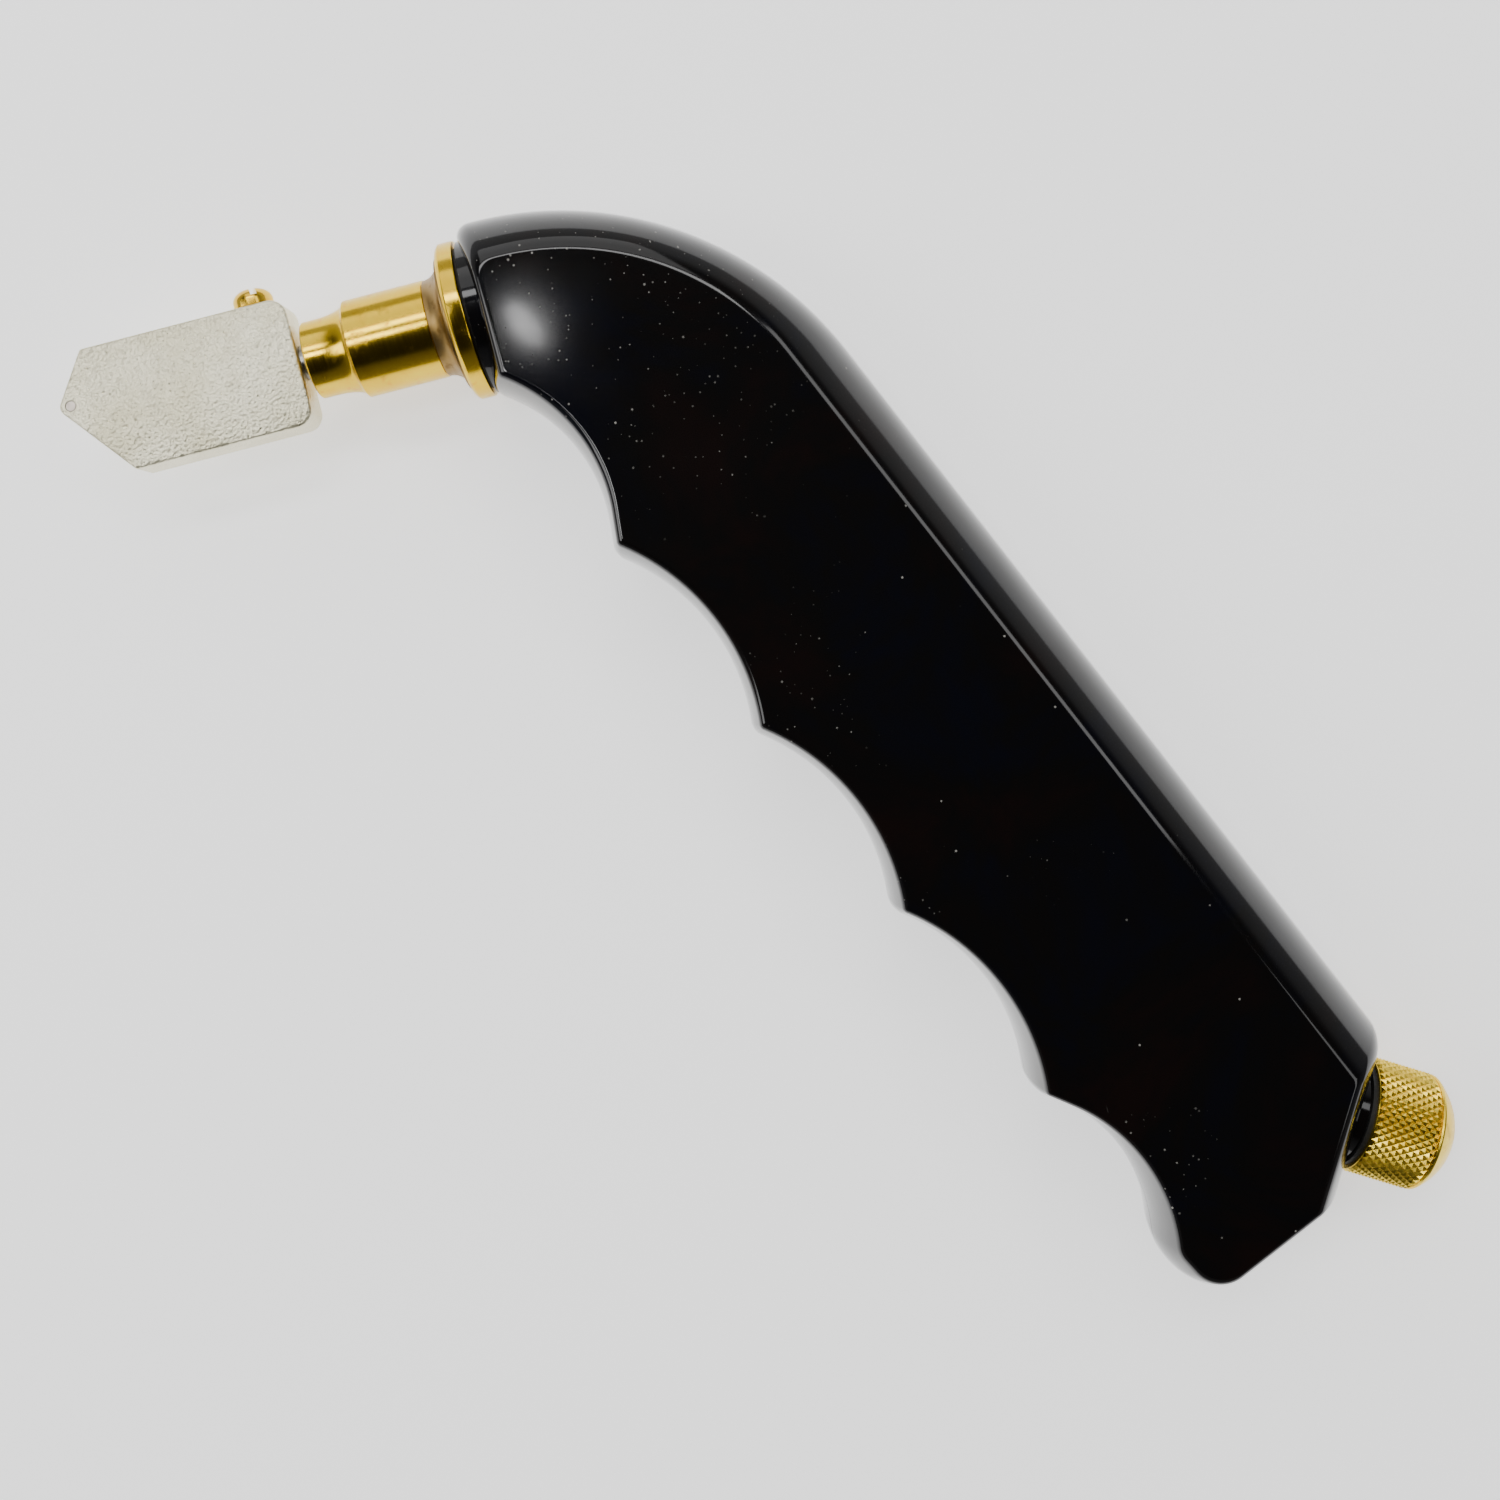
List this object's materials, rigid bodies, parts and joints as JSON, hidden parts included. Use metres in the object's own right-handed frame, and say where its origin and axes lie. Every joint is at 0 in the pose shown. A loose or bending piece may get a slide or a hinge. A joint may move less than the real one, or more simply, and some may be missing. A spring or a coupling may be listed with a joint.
{
  "type": "glass cutter",
  "caption": "Pistol-grip glass cutter: a hollow finger-grooved handle feeds oil through a sprung brass neck to a swivelling flat head with a scoring wheel.",
  "frame": {"origin": "the crossing of the neck axis and the grip axis, on the handle's flat back face, which it lies on", "axes": "+X along the neck from the wheel towards the handle, +Y up the grip from the filler cap towards the neck, +Z out of the face it lies on, across the handle"},
  "size_m": [0.1225, 0.126, 0.018],
  "materials": {
    "handle_plastic": "gloss",
    "brass": "polished",
    "head_steel": "satin",
    "bright_steel": "turned",
    "carbide": "ground",
    "seal_rubber": "matte",
    "felt": "matte"
  },
  "bodies": {
    "handle": {"handle_left_shell": "handle_plastic", "handle_right_shell": "handle_plastic", "front_insert": "brass", "neck": "brass", "neck_gasket": "seal_rubber", "guide_seal": "seal_rubber", "spring_retainer": "brass", "rear_washer": "bright_steel", "wick": "felt", "filler_insert": "brass"},
    "plunger": {"stem": "bright_steel", "front_washer": "bright_steel", "socket_seal": "seal_rubber", "return_spring": "bright_steel"},
    "head": {"head_body": "head_steel", "wheel_axle": "bright_steel"},
    "screw": {"swivel_screw": "brass"},
    "wheel": {"cutting_wheel": "carbide"},
    "cap_seal": {"cap_gasket": "seal_rubber"},
    "cap": {"filler_cap": "brass"}
  },
  "joints": [
    {"name": "head_plunge", "type": "slide", "parent": "handle", "child": "plunger", "axis": [1, 0, 0], "range_m": [0, 0.0008], "stiffness_N_per_m": 800, "springref_m": -0.001, "deforming": ["return_spring"]},
    {"name": "head_swivel", "type": "hinge", "parent": "plunger", "child": "head", "pos_m": [-0.036, 0, 0.009], "axis": [1, 0, 0], "continuous": true},
    {"name": "screw_turn", "type": "hinge", "parent": "head", "child": "screw", "pos_m": [-0.036, 0.0068, 0.009], "axis": [0, 1, 0], "range_deg": [0, 180]},
    {"name": "wheel_spin", "type": "hinge", "parent": "head", "child": "wheel", "pos_m": [-0.0565, 0.00125, 0.009], "axis": [0, 0, 1], "continuous": true},
    {"name": "cap_lift", "type": "slide", "parent": "handle", "child": "cap_seal", "axis": [0.8526, -0.5225, 0], "range_m": [0, 0.00501]},
    {"name": "cap_turn", "type": "hinge", "parent": "cap_seal", "child": "cap", "pos_m": [0.05429, -0.10389, 0.009], "axis": [0.8526, -0.5225, 0], "range_deg": [0, 1800]}
  ],
  "couplings": [
    {"joint": "cap_lift", "follows": "cap_turn", "m_per_rad": 0.00015915}
  ]
}
